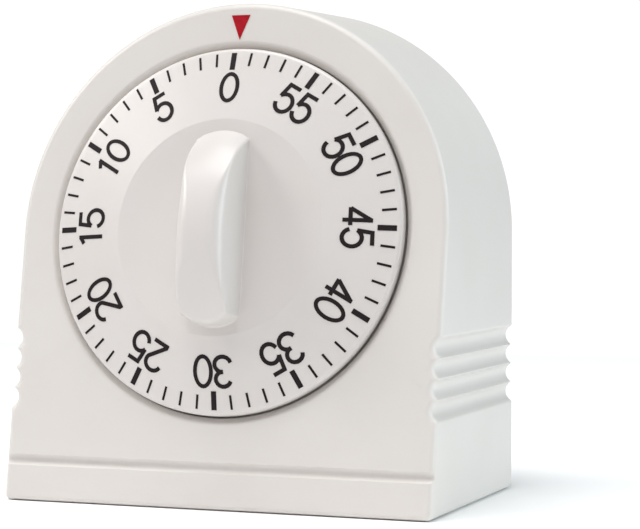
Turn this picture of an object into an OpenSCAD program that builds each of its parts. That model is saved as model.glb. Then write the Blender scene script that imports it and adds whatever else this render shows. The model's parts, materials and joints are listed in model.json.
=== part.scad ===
// Manual kitchen timer: an arch-shaped plastic case that stands on its flat base, a leaning
// front face with a turning dial and grip, and a clockwork movement with a bell behind it.
// Origin at the centre of the base. The front faces -Y, and +Z is up.

/* [Case] */
// Half width of the case at its front foot, and radius of its arch there
case_r = 44.7; // [43:0.1:50]
// How much wider each side is at the back, so that the case leaves its mould
case_draft = 1.7; // [0.5:0.1:2.5]
// Depth of the case at its foot
case_d = 52.5; // [50:0.5:70]
// Height of the dial centre, measured up the leaning face
dial_s = 54.8; // [52:0.1:64]
// Lean of the front face from the vertical, degrees
face_lean = 9.8; // [4:0.1:10]
// Wall of the case
wall = 2.4; // [2.2:0.1:3]

/* [Case details] */
// Radius of the round opening that the dial turns in
opening_r = 38; // [37.6:0.1:39]
// Depth of the dished tray behind the dial
tray_depth = 4; // [3.6:0.1:5]
// Height of the groove across the front, measured up the face
groove_s = 8.3; // [6:0.1:12]
// Width of that groove
groove_w = 1.8; // [1:0.1:2.4]
// Depth of that groove
groove_depth = 1; // [0.5:0.1:1.2]
// Number of finger grooves on each side
finger_count = 4; // [3:1:5]
// Distance from one finger groove to the next
finger_pitch = 3.9; // [3:0.1:4.4]
// Depth of each finger groove
finger_depth = 1.3; // [0.6:0.1:1.4]
// Height of the lowest finger groove
finger_z = 20.4; // [16:0.1:24]

/* [Rear cover] */
// Thickness of the rear cover
cover_t = 2.2; // [1.8:0.1:3]
// How far the cover lies inside the rim of the case
cover_inset = 0.8; // [0.4:0.1:1.5]
// Gap between the cover and the case
cover_gap = 0.15; // [0.1:0.05:0.3]
// Number of sound slots
slot_count = 7; // [5:2:9]
// Width of each sound slot
slot_w = 2; // [1.5:0.1:2.5]

/* [Dial] */
// Radius of the dial
dial_r = 36.5; // [34:0.1:37]
// How far the dial stands out of the face
dial_proud = 1.3; // [0.8:0.1:2]
// Thickness of the dial
dial_t = 3; // [2.6:0.1:3.4]
// Radius of the flat crown in the middle of the dial
crown_r = 21.4; // [20:0.1:23]
// How far the dial rises like a cone from its edge to the crown
crown_rise = 3.4; // [2.5:0.1:4.5]
// Length of the grip bar
grip_len = 39.2; // [36:0.1:41]
// Width of the grip bar at its foot
grip_w = 11; // [9:0.1:12]
// Slope of the grip bar's sides, in degrees
grip_draft = 5.4; // [2:0.1:7]
// Height of the grip bar above the crown
grip_h = 10.6; // [8:0.1:13]
// Radius of the arc along its crest
crest_r = 25.5; // [23.5:0.1:28]
// How far below the dial centre its highest point lies
crest_drop = 1.7; // [0:0.1:3]

/* [Movement] */
// Module of all the gears
gear_m = 0.5; // [0.48:0.01:0.52]
// Teeth of the great wheel
great_teeth = 66; // [60:1:68]
// Teeth of the second wheel
second_teeth = 56; // [50:1:58]
// Teeth of the third wheel
third_teeth = 54; // [48:1:56]
// Leaves of every pinion
leaves = 8; // [8:1:9]
// Gap between the two plates
plate_gap = 14.8; // [14.8:0.1:16]
// Thickness of each plate
plate_t = 1.2; // [1:0.1:1.5]
// Radius of the main arbor
arbor_r = 2.4; // [2:0.1:2.5]
// Running clearance of a shaft in its bush, on the radius
fit = 0.05; // [0.03:0.01:0.08]
// Turns of the mainspring
spring_turns = 8; // [5:1:10]
// Radius of the bell
bell_r = 23; // [20:0.5:24]
// Depth of the bell
bell_d = 8.5; // [7:0.1:9]
// Wall of the bell
bell_t = 1.2; // [1:0.1:1.5]

/* [Hidden] */
$fn = 96;
eps = 0.01;
cut = 1;
through = 99;

// Case: the sides widen from front to back, and the arch is a cone with the same draft.
front_y = -case_d / 2;
rear_y = case_d / 2;
arch_z = dial_s * cos(face_lean);
draft_angle = atan(case_draft / case_d);
cover_y = rear_y - cover_inset - cover_t;
tray_wall = 2;
tray_floor_z = -tray_depth;
tray_rear_z = -tray_depth - tray_wall;
hub_r = 5.5;
hub_hole_r = hub_r + 0.8;
boss_r = 3.5;
boss_y = 2;
cover_boss = [[-case_r + wall + boss_r + 1, 8.5], [case_r - wall - boss_r - 1, 8.5],
              [0, arch_z + case_r - wall - boss_r - 1]];
cover_screw_r = 1.45;
cover_screw_head_r = 2.7;
cover_screw_head_t = 1.2;
cover_screw_len = 9;

// Places up the face, from the dial centre.
stop_r = dial_r - 3.5;
stop_half = 0.65;
stop_h = 1.6;
stop_len = 4;
stop_angle = 180;
mark_t = 0.08;
foot_r = 4;
foot_t = 1.2;
foot_x = case_r - 9;
foot_y = case_d / 2 - 8;
grip_end_r = 8.6;
lug_gap = 0.4;
lug_len = 3;
pointer_tip_s = dial_s + opening_r + 0.5;
pointer_top_s = pointer_tip_s + 5;
pointer_half = 2;
tick_count = 60;
tick_out = dial_r - 1.05;
tick_in = tick_out - 2.75;
tick_in_major = tick_out - 3.6;
tick_w = 0.47;
tick_w_major = 1.08;
digit_r = dial_r - 8.4;
digit_h = 6.5;
digit_w = 4.2;
digit_step = 4.15;
digit_stroke = 0.8;
rest_turn = 0.5;

// Levels of the movement, counted back from the front face.
standoff = 2;
plate_front_z = tray_rear_z - standoff;
train_front_z = plate_front_z - plate_t;
train_rear_z = train_front_z - plate_gap;
plate_rear_z = train_rear_z - plate_t;
cam_z = train_front_z - 0.5;
cam_t = 0.9;
cam_r = 8;
nose_a = -14;
nose_r = 0.8;
notch_depth = 2;
notch_w = 2.4;
third_z = train_front_z - 2.4;
second_z = train_front_z - 4.2;
wheel_t = 0.8;
wheel_rim = 2.2;
wheel_hub = 2.4;
spoke_half = 1.2;
ratchet_z = train_front_z - 5.6;
ratchet_t = 0.9;
ratchet_r = 6.5;
ratchet_teeth = 16;
ratchet_tooth = 0.9;
great_z = train_front_z - 6.7;
great_t = 1;
escape_z = second_z;
ring_z = third_z + 0.2;
spring_z = train_front_z - 8.4;
spring_w = 6;
spring_t = 0.35;
post_r = 1;
thin_arbor_r = 0.75;
pinion_len = 2;

function polar(r, a) = [r * cos(a), r * sin(a)];

// Level of the rear cover's inner face, seen from the dial's frame at height y over the dial centre.
function cover_level(y) = (front_y - cover_y + (dial_s + y) * sin(face_lean)) / cos(face_lean);

// Where the arbors stand: each wheel and the pinion that it drives are in mesh at rest.
pinion_pitch_r = leaves * gear_m / 2;
great_r = great_teeth * gear_m / 2;
second_r = second_teeth * gear_m / 2;
third_r = third_teeth * gear_m / 2;
second_a = 125;
third_a = -125;
escape_a = -70;
balance_a = -30;
ring_a = 20;
second_c = polar(great_r + pinion_pitch_r, second_a);
third_c = second_c + polar(second_r + pinion_pitch_r, third_a);
escape_c = third_c + polar(third_r + pinion_pitch_r, escape_a);
balance_d = 9.5;
balance_c = escape_c + polar(balance_d, balance_a);
ring_c = polar(great_r + pinion_pitch_r, ring_a);
hammer_c = ring_c + [8.4, 1.5];
spring_r = min(15.4, norm(ring_c) - thin_arbor_r - 0.6, norm(balance_c) - thin_arbor_r - 0.6);
post_c = polar(spring_r + post_r + 0.6, 60);
release_c = polar(cam_r + 8.7, -41);
pillar_c = [[-31, 18], [22, 22], [27, -18], [-29, -24]];
pillar_r = 2.2;
plate_edge = 4.5;
screw_c = [[-26, 10], [26, -8], [-18, -21.6]];
screw_r = 1.4;
screw_gap = 0.2;
screw_head_r = 2.6;
screw_head_t = 1.2;
pivot_r = 0.5;
pivot_len = plate_t + 0.4;
end_play = 0.15;

// Escapement and ringing work.
escape_teeth = 15;
escape_tooth = 1.7;
escape_tip_r = 7;
pin_r = 0.35;
pin_clear = 0.32;
pin_a = 42;
ring_tip_r = 5;
ring_teeth = 12;
ring_tooth = 1.3;
bell_c = [-6, -6];
bell_shoulder_r = 5;
bell_post_r = 2.5;
bell_nut_r = 3.2;
bell_rim_z = plate_rear_z - 2.4;
bell_nut_t = 2.4;
bell_end_t = 3;
bell_h = min(bell_d, bell_rim_z - cover_level(bell_c[1] + bell_post_r) - bell_end_t - 0.4);
bell_thread_r = 1.5;
head_r = 2.2;
strike_gap = 1.5;
head_path_r = bell_r - bell_t - head_r - strike_gap;
hammer_reach = norm(hammer_c - bell_c);
head_a = atan2(hammer_c[1] - bell_c[1], hammer_c[0] - bell_c[0]) + acos(head_path_r / hammer_reach);
head_c = bell_c + polar(head_path_r, head_a);
lever_z = plate_rear_z - 0.6;
lever_t = 0.8;
lever_w = 1.6;
lever_eye_r = 2.2;
head_rivet_r = 0.8;
head_len = 4.6;

plastic = [0.87, 0.86, 0.83];
rubber = "dimgray";
ink = [0.13, 0.1, 0.1];
brass = [0.8, 0.65, 0.3];
steel = [0.72, 0.73, 0.75];

// Frame of the front face: x across, y up the face, z out of it.
module on_face() translate([0, front_y, 0]) rotate([90 - face_lean, 0, 0]) children();

// Frame of the dial: as the face's, with its origin at the dial centre.
module on_dial() on_face() translate([0, dial_s, 0]) children();

// A disc from z_top down by t, round the z axis at c.
module disc(c, r, z_top, t) translate([c[0], c[1], z_top - t]) cylinder(r = r, h = t);

// The case's outside, moved in by `inset`, from y0 to y1 and up from z0.
module arch_body(inset, y0, y1, z0) {
    r0 = case_r + (y0 - front_y) * tan(draft_angle) - inset;
    r1 = case_r + (y1 - front_y) * tan(draft_angle) - inset;
    translate([0, 0, z0]) linear_extrude(arch_z - z0)
        polygon([[-r0, y0], [r0, y0], [r1, y1], [-r1, y1]]);
    translate([0, y0, arch_z]) intersection() {
        rotate([-90, 0, 0]) cylinder(r1 = r0, r2 = r1, h = y1 - y0, $fn = 180);
        translate([-2 * case_r, -cut, 0]) cube([4 * case_r, y1 - y0 + 2 * cut, 2 * case_r]);
    }
}

// Everything in front of the face plane moved back by `back`.
module ahead_of_face(back)
    on_face() translate([-2 * case_r, -case_r, -back]) cube([4 * case_r, 5 * case_r, case_d]);

module finger_grooves() {
    scallop_r = (pow(finger_pitch / 2, 2) + pow(finger_depth, 2)) / (2 * finger_depth);
    for (side = [-1, 1], i = [0 : finger_count - 1])
        translate([side * (case_r + scallop_r - finger_depth), front_y, finger_z + i * finger_pitch])
            rotate([-90, 0, 0]) rotate([0, side * draft_angle, 0])
                translate([0, 0, -case_d / 2]) cylinder(r = scallop_r, h = 2 * case_d, $fn = 48);
}

module cover_bosses() {
    for (b = cover_boss) {
        translate([b[0], boss_y, b[1]]) rotate([-90, 0, 0])
            cylinder(r = boss_r, h = cover_y - boss_y, $fn = 48);
        out = b[0] == 0 ? [0, 1] : [sign(b[0]), 0];
        translate([b[0] + out[0] * boss_r - 1.5, boss_y, b[1] + out[1] * boss_r - 1.5])
            cube([3, cover_y - boss_y, 3]);
    }
}

module housing() {
    color(plastic) difference() {
        union() {
            difference() {
                arch_body(0, front_y, rear_y, 0);
                difference() {
                    arch_body(wall, front_y - eps, rear_y + cut, wall);
                    ahead_of_face(wall);
                }
            }
            on_dial() disc([0, 0], opening_r + tray_wall, -eps, tray_depth + tray_wall - eps);
            on_dial() for (c = screw_c) disc(c, boss_r, tray_rear_z + eps, standoff + eps);
            intersection() {
                cover_bosses();
                arch_body(wall / 2, front_y, rear_y, wall / 2);
            }
        }
        ahead_of_face(0);
        on_dial() disc([0, 0], opening_r, cut, tray_depth + cut);
        on_dial() disc([0, 0], hub_hole_r, 0, -tray_rear_z + cut);
        on_dial() for (c = screw_c) disc(c, screw_r + screw_gap, 0, -plate_front_z + cut);
        on_face() translate([-2 * case_r, groove_s - groove_w / 2, -groove_depth])
            cube([4 * case_r, groove_w, groove_depth + cut]);
        finger_grooves();
        feet();
        for (b = cover_boss) translate([b[0], cover_y - cover_screw_len, b[1]]) rotate([-90, 0, 0])
            cylinder(r = cover_screw_r, h = cover_screw_len + cut, $fn = 32);
    }
    color(plastic) on_dial() rotate(stop_angle)
        translate([-stop_half, stop_r - stop_len / 2, tray_floor_z]) cube([2 * stop_half, stop_len, stop_h]);
}

// Rubber feet, let into the base and flush with it.
module feet() color(rubber) for (x = [-1, 1], y = [-1, 1])
    translate([x * foot_x, y * foot_y, 0]) cylinder(r = foot_r, h = foot_t, $fn = 48);

module rear_cover() color(plastic) difference() {
    arch_body(wall + cover_gap, cover_y, cover_y + cover_t, wall + cover_gap);
    for (b = cover_boss) translate([b[0], 0, b[1]]) rotate([-90, 0, 0]) {
        cylinder(r = cover_screw_r + screw_gap, h = rear_y + cut, $fn = 32);
        translate([0, 0, cover_y + cover_t - cover_screw_head_t])
            cylinder(r = cover_screw_head_r + screw_gap, h = case_d, $fn = 32);
    }
    for (i = [0 : slot_count - 1]) {
        x = (i - (slot_count - 1) / 2) * 2.5 * slot_w;
        slot_h = 2 * sqrt(pow(bell_r, 2) - pow(x, 2)) - 4 * slot_w;
        translate([x, cover_y - cut, arch_z - 8]) rotate([-90, 0, 0])
            linear_extrude(cover_t + 2 * cut) slot_outline(slot_h);
    }
}

// A slot with round ends, upright and centred.
module slot_outline(h) {
    square([slot_w, h], center = true);
    for (y = [-h / 2, h / 2]) translate([0, y]) circle(d = slot_w, $fn = 24);
}

// A pan-head screw: head up from z = 0, shank down, with a cross recess in the head.
module screw(head_r, head_t, shank_r, len) difference() {
    union() {
        cylinder(r = head_r, h = head_t, $fn = 32);
        translate([0, 0, -len]) cylinder(r = shank_r, h = len + eps, $fn = 32);
    }
    for (a = [0, 90]) rotate(a) translate([-head_r * 0.6, -head_r * 0.13, head_t / 2])
        cube([head_r * 1.2, head_r * 0.26, head_t]);
}

module rear_cover_screws() color(steel) for (b = cover_boss)
    translate([b[0], cover_y + cover_t - cover_screw_head_t, b[1]]) rotate([-90, 0, 0])
        screw(cover_screw_head_r, cover_screw_head_t, cover_screw_r, cover_screw_len - 1);

module pointer_mark() color("firebrick") on_face() linear_extrude(mark_t)
    polygon([[-pointer_half, pointer_top_s], [pointer_half, pointer_top_s], [0, pointer_tip_s]]);

module movement_screws() color(steel) on_dial() for (c = screw_c)
    translate([c[0], c[1], tray_floor_z])
        screw(screw_head_r, screw_head_t, screw_r, tray_floor_z - train_front_z + 0.8);

// Outline of both plates, round the four pillars.
module plate_outline() hull() for (p = pillar_c) translate(p) circle(r = plate_edge, $fn = 32);

module plate(z_top, holes) color(brass) on_dial() difference() {
    translate([0, 0, z_top - plate_t]) linear_extrude(plate_t) plate_outline();
    for (h = holes) disc([h[0], h[1]], h[2], z_top + cut, plate_t + 2 * cut);
}

main_bush_r = 4.5;
small_bush_r = 2;
flange_w = 0.8;
flange_t = 0.4;
hammer_arbor_r = 1;
pillar_screw_r = 1;
pillar_head_r = 1.8;
pillar_head_t = 0.9;
pillar_thread = 4;
release_pin_r = 0.9;

// Pivot holes that both plates share.
shared_holes = [
    for (c = [second_c, third_c, escape_c, balance_c, ring_c]) [c[0], c[1], pivot_r + fit],
    for (p = pillar_c) [p[0], p[1], pillar_screw_r],
    [hammer_c[0], hammer_c[1], small_bush_r]
];

module front_plate() plate(plate_front_z, concat(shared_holes,
    [[0, 0, main_bush_r], [release_c[0], release_c[1], release_pin_r]],
    [for (c = screw_c) [c[0], c[1], screw_r]]));

module back_plate() plate(train_rear_z, concat(shared_holes,
    [[0, 0, main_bush_r - 1], [post_c[0], post_c[1], post_r], [bell_c[0], bell_c[1], bell_thread_r]]));

module pillars() color(steel) on_dial() for (p = pillar_c) difference() {
    disc(p, pillar_r, train_front_z, plate_gap);
    disc(p, pillar_screw_r, train_front_z + cut, pillar_thread + cut);
    disc(p, pillar_screw_r, train_rear_z + pillar_thread, pillar_thread + cut);
}

module pillar_screws() color(steel) on_dial() for (p = pillar_c) {
    translate([p[0], p[1], plate_front_z]) screw(pillar_head_r, pillar_head_t, pillar_screw_r, plate_t + 3);
    translate([p[0], p[1], plate_rear_z]) mirror([0, 0, 1])
        screw(pillar_head_r, pillar_head_t, pillar_screw_r, plate_t + 3);
}

// A flanged bush in a plate whose top is at z_top, with the flange outside.
module bush(c, outer, bore, z_top, flange_up) difference() {
    union() {
        disc(c, outer, z_top, plate_t);
        disc(c, outer + flange_w, flange_up ? z_top + flange_t : z_top - plate_t, flange_t);
    }
    disc(c, bore, z_top + cut, plate_t + 2 * cut);
}

module arbor_bushes() color("goldenrod") on_dial() {
    bush([0, 0], main_bush_r, arbor_r + fit, plate_front_z, true);
    bush([0, 0], main_bush_r - 1, rear_pivot_r + fit, train_rear_z, false);
    bush(hammer_c, small_bush_r, hammer_arbor_r + fit, plate_front_z, true);
    bush(hammer_c, small_bush_r, hammer_arbor_r + fit, train_rear_z, false);
}

module spring_post() color(steel) on_dial()
    disc(post_c, post_r, spring_z + 0.2, spring_z + 0.2 - plate_rear_z);

// The mainspring is a flat strip wound into a spiral, hooked round its post.
spring_steps = 30 * spring_turns;
spring_in_r = arbor_r + 0.25;
spring_hook_t = spring_t + 0.35;
function spiral_r(i) = spring_in_r + (spring_r - spring_in_r) * i / spring_steps;
function spiral_a(i) = 60 - (spring_steps - i) * 12;

module mainspring() color([0.35, 0.4, 0.5]) on_dial() translate([0, 0, spring_z - spring_w])
    linear_extrude(spring_w) {
        polygon(concat(
            [for (i = [0 : spring_steps]) polar(spiral_r(i), spiral_a(i))],
            [for (i = [spring_steps : -1 : 0]) polar(spiral_r(i) + spring_t, spiral_a(i))]));
        translate(post_c) difference() {
            circle(r = post_r + fit + spring_hook_t, $fn = 32);
            circle(r = post_r + fit, $fn = 32);
        }
    }

// Bell: a dome with a round shoulder, open towards the movement.
module bell_section(r, h, c) {
    square([r - c, h]);
    square([r, h - c]);
    translate([r - c, h - c]) circle(r = c, $fn = 64);
}

module bell() color("silver") on_dial() translate([bell_c[0], bell_c[1], bell_rim_z])
    rotate([180, 0, 0]) difference() {
        rotate_extrude($fn = 120) difference() {
            intersection() {
                bell_section(bell_r, bell_h, bell_shoulder_r);
                square([bell_r + cut, bell_h + cut]);
            }
            translate([0, -cut])
                bell_section(bell_r - bell_t, bell_h - bell_t + cut, bell_shoulder_r - bell_t);
        }
        cylinder(r = bell_thread_r + 0.1, h = 3 * bell_h, center = true, $fn = 32);
    }

bell_seat_z = bell_rim_z - bell_h + bell_t;
module bell_post() color(steel) on_dial() {
    disc(bell_c, bell_post_r, plate_rear_z, plate_rear_z - bell_seat_z);
    disc(bell_c, bell_thread_r, train_rear_z, train_rear_z - bell_seat_z + bell_t + bell_end_t);
}

module bell_nut() color(steel) on_dial() difference() {
    translate([bell_c[0], bell_c[1], bell_seat_z - bell_t - bell_nut_t])
        cylinder(r = bell_nut_r, h = bell_nut_t, $fn = 6);
    disc(bell_c, bell_thread_r, bell_seat_z, 2 * bell_h);
}

module release_pivot() color(steel) on_dial() {
    disc(release_c, release_pin_r, plate_front_z + 0.3, plate_front_z + 0.3 - cam_z + cam_t + 0.1);
    disc(release_c, release_pin_r + 0.8, cam_z - cam_t - 0.1, 0.4);
}

// Dial: a round-edged disc rising to a flat crown, with a hub behind and the grip in front.
rim_round = 1;
crown_z = dial_proud + crown_rise;
function cone_z(r) = dial_proud + crown_rise * (dial_r - rim_round - r) / (dial_r - rim_round - crown_r);

module dial_section() difference() {
    union() {
        polygon([[0, dial_proud - dial_t], [dial_r - rim_round, dial_proud - dial_t],
            [dial_r - rim_round, dial_proud], [crown_r, crown_z], [0, crown_z]]);
        translate([0, dial_proud - dial_t + rim_round]) square([dial_r, dial_t - 2 * rim_round]);
        for (z = [dial_proud, dial_proud - dial_t + 2 * rim_round])
            translate([dial_r - rim_round, z - rim_round]) circle(r = rim_round, $fn = 32);
    }
    translate([hub_r + dial_t, dial_proud - dial_t - cut])
        square([crown_r - hub_r - 1.5 * dial_t, crown_rise + cut]);
    translate([-dial_r, -dial_t]) square([dial_r, 3 * dial_t]);
}

module grip_outline() {
    half = grip_w / 2;
    end_c = grip_len / 2 - grip_end_r;
    corner = end_c + sqrt(grip_end_r * grip_end_r - half * half);
    square([grip_w, 2 * corner], center = true);
    intersection() {
        union() for (s = [-1, 1]) translate([0, s * end_c]) circle(r = grip_end_r, $fn = 96);
        square([grip_w, 2 * grip_len], center = true);
    }
}

module grip() intersection() {
    foot_z = crown_z - 0.6;
    crest_half = grip_w / 2 - grip_h * tan(grip_draft);
    foot_half = grip_w / 2 + (crown_z - foot_z) * tan(grip_draft);
    translate([0, 0, foot_z]) linear_extrude(2 * grip_h) grip_outline();
    rotate([90, 0, 0]) linear_extrude(2 * grip_len, center = true)
        polygon([[-foot_half, foot_z], [foot_half, foot_z],
            [crest_half, crown_z + grip_h], [-crest_half, crown_z + grip_h]]);
    translate([-grip_w, -crest_drop, crown_z + grip_h - crest_r]) rotate([0, 90, 0])
        cylinder(r = crest_r, h = 2 * grip_w, $fn = 180);
}

// The shaft has a flat that drives the dial.
hub_back_z = tray_rear_z - 1.2;
arbor_front_z = dial_proud - dial_t + 0.6;
module d_shaft(r, z_top, t) difference() {
    disc([0, 0], r, z_top, t);
    translate([r * 0.6, -2 * r, z_top - t - cut]) cube([4 * r, 4 * r, t + 2 * cut]);
}

module dial() color(plastic) on_dial() rotate(rest_turn) {
    difference() {
        union() {
            rotate_extrude($fn = 180) dial_section();
            disc([0, 0], hub_r, dial_proud - dial_t + eps, dial_proud - dial_t + eps - hub_back_z);
            grip();
        }
        d_shaft(arbor_r, arbor_front_z, arbor_front_z - hub_back_z + cut);
    }
    // The stop lug stands beside the stop rib, and comes round to its other side.
    lug_a = stop_angle - 2 * asin((2 * stop_half + 0.1) / 2 / stop_r) - rest_turn;
    rotate(lug_a) translate([-stop_half, stop_r - lug_len / 2, tray_floor_z + lug_gap])
        cube([2 * stop_half, lug_len, dial_proud - dial_t - tray_floor_z - lug_gap]);
}

// Centrelines of the digits, in a box one wide and one high round the origin.
function arc(c, rx, ry, a0, a1, n = 12) =
    [for (i = [0 : n]) let (a = a0 + (a1 - a0) * i / n) c + [rx * cos(a), ry * sin(a)]];
function digit_strokes(d) =
    d == 1 ? [[[-0.24, 0.28], [0.13, 0.44]], [[0.13, 0.5], [0.13, -0.5]]] :
    d == 2 ? [concat(arc([0, 0.23], 0.5, 0.27, 172, -28), [[-0.44, -0.47]]), [[-0.52, -0.5], [0.5, -0.5]]] :
    d == 3 ? [arc([-0.02, 0.25], 0.46, 0.25, 165, -90), arc([0, -0.24], 0.5, 0.26, 90, -165)] :
    d == 4 ? [[[0.22, -0.5], [0.22, 0.5]], [[0.22, 0.46], [-0.46, -0.24]], [[-0.5, -0.24], [0.52, -0.24]]] :
    [[[0.42, 0.5], [-0.3, 0.5], [-0.42, 0]], arc([0, -0.17], 0.5, 0.33, 148, -165, 18)];

function normal(a, b) = let (d = (b - a) / norm(b - a)) [-d[1], d[0]];

// The step sideways from a centreline point, lengthened at a corner so that the width stays the same.
function sideways(p, i) = let (
    n0 = normal(p[max(i - 1, 0)], p[max(i, 1)]),
    n1 = normal(p[min(i, len(p) - 2)], p[min(i + 1, len(p) - 1)])
) (n0 + n1) / (1 + n0 * n1);

// A stroke of constant width along a centreline.
module stroke(p, w) polygon(concat(
    [for (i = [0 : len(p) - 1]) p[i] - sideways(p, i) * w / 2],
    [for (i = [len(p) - 1 : -1 : 0]) p[i] + sideways(p, i) * w / 2]));

module bar(a, b, w) stroke([a, b], w);

// A flat link from a to b, from z_top down by t.
module link(a, b, w, z_top, t) translate([0, 0, z_top - t]) linear_extrude(t) bar(a, b, w);

module digit(d) {
    w = digit_w - digit_stroke;
    h = digit_h - digit_stroke;
    if (d == 0) difference() {
        polygon(arc([0, 0], digit_w / 2, digit_h / 2, 0, 345, 23));
        polygon(arc([0, 0], digit_w / 2 - digit_stroke, digit_h / 2 - digit_stroke, 0, 345, 23));
    }
    else for (path = digit_strokes(d)) stroke([for (p = path) [p[0] * w, p[1] * h]], digit_stroke);
}

// The part of the dial's cone that can carry print, mark_t thick.
module print_shell() rotate_extrude($fn = 180)
    polygon([for (p = [[crown_r, 0], [dial_r - rim_round, 0], [dial_r - rim_round, mark_t], [crown_r, mark_t]])
        [p[0], cone_z(p[0]) + p[1]]]);

module marks() {
    for (i = [0 : tick_count - 1]) rotate(i * 360 / tick_count) {
        major = i % 5 == 0;
        inner = major ? tick_in_major : tick_in;
        width = major ? tick_w_major : tick_w;
        translate([-width / 2, inner]) square([width, tick_out - inner]);
    }
    for (n = [0 : 5 : tick_count - 1]) rotate(n * 360 / tick_count)
        translate([0, digit_r]) if (n < 10) digit(n);
        else {
            translate([-digit_step / 2, 0]) digit(floor(n / 10));
            translate([digit_step / 2, 0]) digit(n % 10);
        }
}

module dial_markings() color(ink) on_dial() rotate(rest_turn) intersection() {
    print_shell();
    translate([0, 0, dial_proud - 1]) linear_extrude(crown_rise + 2) marks();
}

rear_pivot_r = 1.5;
module main_arbor() color(steel) on_dial() {
    disc([0, 0], arbor_r, hub_back_z, hub_back_z - train_rear_z - 0.3);
    rotate(rest_turn) d_shaft(arbor_r, arbor_front_z - 0.2, arbor_front_z - 0.2 - hub_back_z + eps);
    disc([0, 0], rear_pivot_r, train_rear_z + 0.3 + eps, plate_t + 0.9);
}

// Cam disc: its notch lets the release lever fall when the dial reaches zero.
module cam_disc() color(steel) on_dial() difference() {
    disc([0, 0], cam_r, cam_z, cam_t);
    disc([0, 0], arbor_r, 0, through);
    rotate(nose_a) translate([cam_r - notch_depth, 0, cam_z - through / 2]) cube([cam_r, notch_w, through]);
}

module saw_outline(n, r_tip, r_root) polygon([for (i = [0 : n - 1], e = [0, 1])
    polar(e == 0 ? r_tip : r_root, 360 * (i + e * 0.12) / n)]);

module ratchet_wheel() color(steel) on_dial() difference() {
    translate([0, 0, ratchet_z - ratchet_t]) linear_extrude(ratchet_t)
        saw_outline(ratchet_teeth, ratchet_r, ratchet_r - ratchet_tooth);
    disc([0, 0], arbor_r, 0, through);
}

washer_r = 4.6;
washer_t = 0.4;
module thrust_washer() color("goldenrod") on_dial() difference() {
    disc([0, 0], washer_r, great_z - great_t - end_play, washer_t);
    disc([0, 0], arbor_r, 0, through);
}

// Clock gears: ogive wheel teeth, and pinion leaves with radial flanks.
function tooth(n, r, parts) =
    [for (i = [0 : n - 1], p = parts) polar(r + p[0] * gear_m, (i + p[1]) * 360 / n)];
wheel_parts = [[-1.5, -0.25], [0, -0.235], [0.55, -0.185], [1, -0.11], [1.25, -0.03],
               [1.25, 0.03], [1, 0.11], [0.55, 0.185], [0, 0.235], [-1.5, 0.25]];
pinion_parts = [[-1.7, -0.1], [0, -0.15], [0.35, -0.12], [0.6, -0.04],
                [0.6, 0.04], [0.35, 0.12], [0, 0.15], [-1.7, 0.1]];

// A wheel at c with one tooth pointing along angle a, and spokes when it is large.
module wheel(c, n, a, z_top, t, bore) on_dial() difference() {
    translate([c[0], c[1], z_top - t]) linear_extrude(t) difference() {
        rotate(a) polygon(tooth(n, n * gear_m / 2, wheel_parts));
        rim_r = n * gear_m / 2 - wheel_rim;
        for (s = [0 : 3]) rotate(45 + s * 90) intersection() {
            difference() {
                circle(r = rim_r);
                circle(r = bore + wheel_hub);
            }
            translate([spoke_half, spoke_half]) square(rim_r);
        }
    }
    disc(c, bore, z_top + cut, t + 2 * cut);
}

// A pinion at c with a gap facing back along angle a, on an arbor between the plates.
module pinion_arbor(c, a, z_mid) on_dial() {
    translate([c[0], c[1], z_mid - pinion_len / 2]) linear_extrude(pinion_len)
        rotate(a + 180 + 180 / leaves) polygon(tooth(leaves, pinion_pitch_r, pinion_parts));
    thin_arbor(c);
}

module thin_arbor(c) {
    disc(c, thin_arbor_r, train_front_z - end_play, plate_gap - 2 * end_play);
    disc(c, pivot_r, train_front_z + pivot_len - 0.2, plate_gap + 2 * (pivot_len - 0.2));
}

module great_wheel() color(brass) wheel([0, 0], great_teeth, second_a, great_z, great_t, arbor_r + fit);
module second_arbor() color(steel) pinion_arbor(second_c, second_a, great_z - great_t / 2);
module second_wheel() color(brass) wheel(second_c, second_teeth, third_a, second_z, wheel_t, thin_arbor_r);
module third_arbor() color(steel) pinion_arbor(third_c, third_a, second_z - wheel_t / 2);
module third_wheel() color(brass) wheel(third_c, third_teeth, escape_a, third_z, wheel_t, thin_arbor_r);
module escape_arbor() color(steel) pinion_arbor(escape_c, escape_a, third_z - wheel_t / 2);

// The ring pinion meets the great wheel part-way between two of its teeth as they fall there.
great_pitch_a = 360 / great_teeth;
ring_phase = (ring_a - second_a) / great_pitch_a - floor((ring_a - second_a) / great_pitch_a);
module ring_arbor() color(steel) on_dial() {
    translate([ring_c[0], ring_c[1], great_z - great_t / 2 - pinion_len / 2]) linear_extrude(pinion_len)
        rotate(ring_a + 180 + 180 / leaves + ring_phase * 360 / leaves)
            polygon(tooth(leaves, pinion_pitch_r, pinion_parts));
    thin_arbor(ring_c);
}

module click_rivet() color(steel) on_dial()
    disc(click_c, click_pin_r, ratchet_z + 0.3, ratchet_z + 0.3 - great_z + great_t);

// Click: a pawl on the great wheel that drops between the ratchet's teeth.
click_c = polar(great_r * 2 / 3, 200);
click_pin_r = 0.6;
click_eye_r = 1.6;
click_t = 0.8;
module click() color(steel) on_dial() difference() {
    union() {
        disc(click_c, click_eye_r, ratchet_z - fit, click_t);
        translate([0, 0, ratchet_z - fit - click_t]) linear_extrude(click_t)
            polygon([click_c + [0.2, 1.5], polar(ratchet_r + 0.25, 168), polar(ratchet_r + 0.25, 176),
                     click_c + [1.4, 0.2]]);
    }
    disc(click_c, click_pin_r + fit, 0, through);
}

module escape_wheel() color(brass) on_dial() difference() {
    translate([escape_c[0], escape_c[1], escape_z - wheel_t]) linear_extrude(wheel_t)
        saw_outline(escape_teeth, escape_tip_r, escape_tip_r - escape_tooth);
    disc(escape_c, thin_arbor_r, 0, through);
}

module balance_arbor() color(steel) on_dial() thin_arbor(balance_c);

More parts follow.
